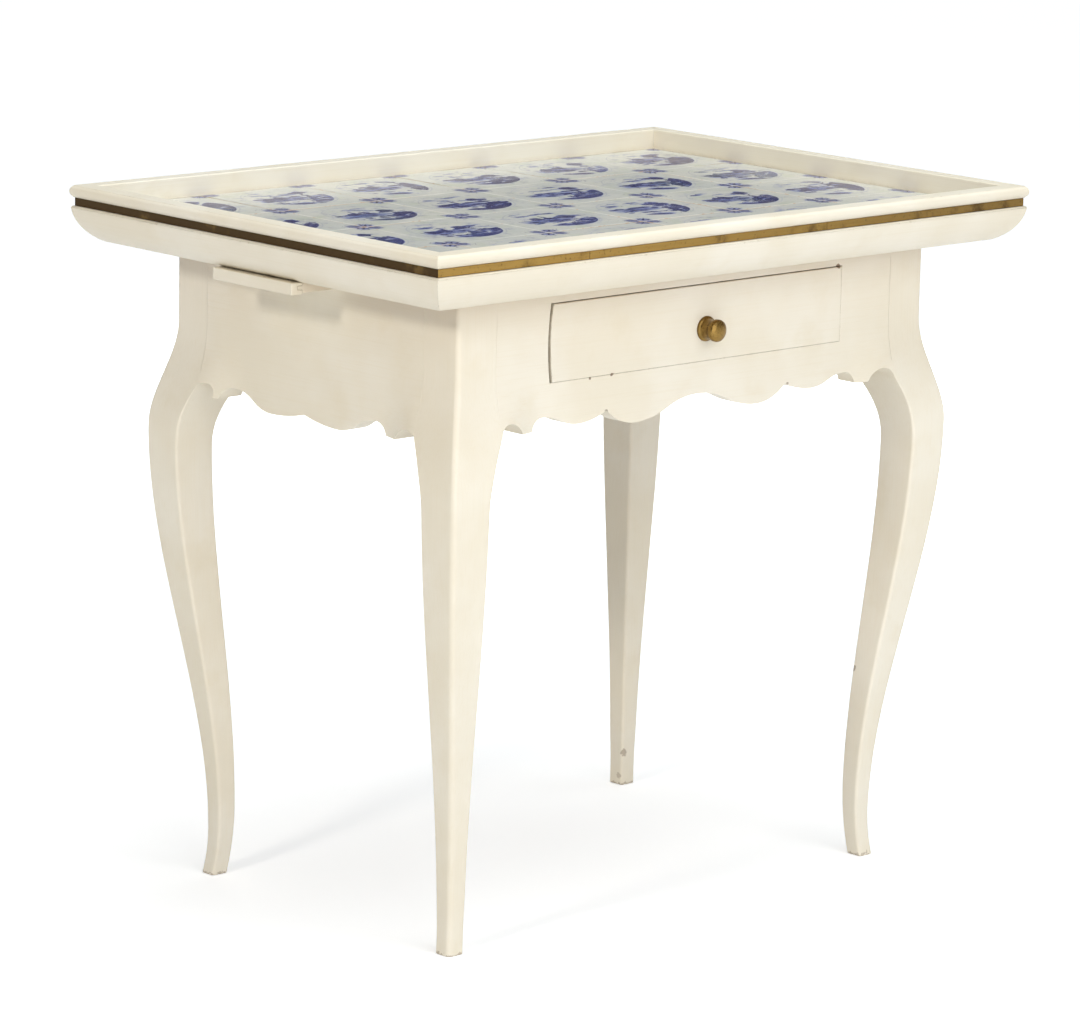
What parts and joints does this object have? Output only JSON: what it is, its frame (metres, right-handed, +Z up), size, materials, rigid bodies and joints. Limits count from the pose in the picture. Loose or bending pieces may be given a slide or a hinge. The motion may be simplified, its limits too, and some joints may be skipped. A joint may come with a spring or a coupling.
{
  "type": "tile top table",
  "caption": "Painted occasional table with cabriole legs, scalloped aprons, a drawer, pull-out candle slides and a sunken tray top of glazed tiles in a brass-banded rim.",
  "frame": {"origin": "on the floor below the middle of the top", "axes": "+Z up, -Y towards the front with the drawer, +X to the right seen from the front"},
  "size_m": [0.833, 0.571, 0.73],
  "materials": {
    "painted_wood": "satin off-white paint",
    "bare_wood": "bare pine",
    "aged_brass": "aged",
    "tile_glaze": "gloss glaze",
    "grout": "matt"
  },
  "bodies": {
    "table": {"tile_row1_column1": "tile_glaze", "tile_row1_column2": "tile_glaze", "tile_row1_column3": "tile_glaze", "tile_row1_column4": "tile_glaze", "tile_row1_column5": "tile_glaze", "tile_row1_column6": "tile_glaze", "tile_row2_column1": "tile_glaze", "tile_row2_column2": "tile_glaze", "tile_row2_column3": "tile_glaze", "tile_row2_column4": "tile_glaze", "tile_row2_column5": "tile_glaze", "tile_row2_column6": "tile_glaze", "tile_row3_column1": "tile_glaze", "tile_row3_column2": "tile_glaze", "tile_row3_column3": "tile_glaze", "tile_row3_column4": "tile_glaze", "tile_row3_column5": "tile_glaze", "tile_row3_column6": "tile_glaze", "tile_row4_column1": "tile_glaze", "tile_row4_column2": "tile_glaze", "tile_row4_column3": "tile_glaze", "tile_row4_column4": "tile_glaze", "tile_row4_column5": "tile_glaze", "tile_row4_column6": "tile_glaze", "mortar_bed": "grout", "bed_board": "bare_wood", "rim_front": "painted_wood", "rim_back": "painted_wood", "rim_left": "painted_wood", "rim_right": "painted_wood", "brass_band_front": "aged_brass", "brass_band_back": "aged_brass", "brass_band_left": "aged_brass", "brass_band_right": "aged_brass", "leg_front_left": "painted_wood", "leg_front_right": "painted_wood", "leg_back_left": "painted_wood", "leg_back_right": "painted_wood", "apron_front": "painted_wood", "apron_back": "painted_wood", "apron_left": "painted_wood", "apron_right": "painted_wood", "tenon_pegs": "bare_wood", "top_blocks": "bare_wood", "drawer_runner_left": "bare_wood", "drawer_runner_right": "bare_wood", "drawer_stops": "bare_wood", "slide_rail_front": "bare_wood", "slide_rail_back": "bare_wood"},
    "drawer": {"drawer_front": "painted_wood", "drawer_side_left": "bare_wood", "drawer_side_right": "bare_wood", "drawer_back": "bare_wood", "drawer_bottom": "bare_wood", "drawer_knob": "aged_brass", "knob_nut": "aged_brass"},
    "left_slide": {"slide_board_left": "painted_wood", "slide_clamp_left": "painted_wood"},
    "right_slide": {"slide_board_right": "painted_wood", "slide_clamp_right": "painted_wood"}
  },
  "joints": [
    {"name": "drawer_slide", "type": "slide", "parent": "table", "child": "drawer", "axis": [0, -1, 0], "range_m": [0, 0.26]},
    {"name": "left_candle_slide", "type": "slide", "parent": "table", "child": "left_slide", "axis": [-1, 0, 0], "range_m": [-0.0585, 0.1035]},
    {"name": "right_candle_slide", "type": "slide", "parent": "table", "child": "right_slide", "axis": [1, 0, 0], "range_m": [0, 0.162]}
  ]
}
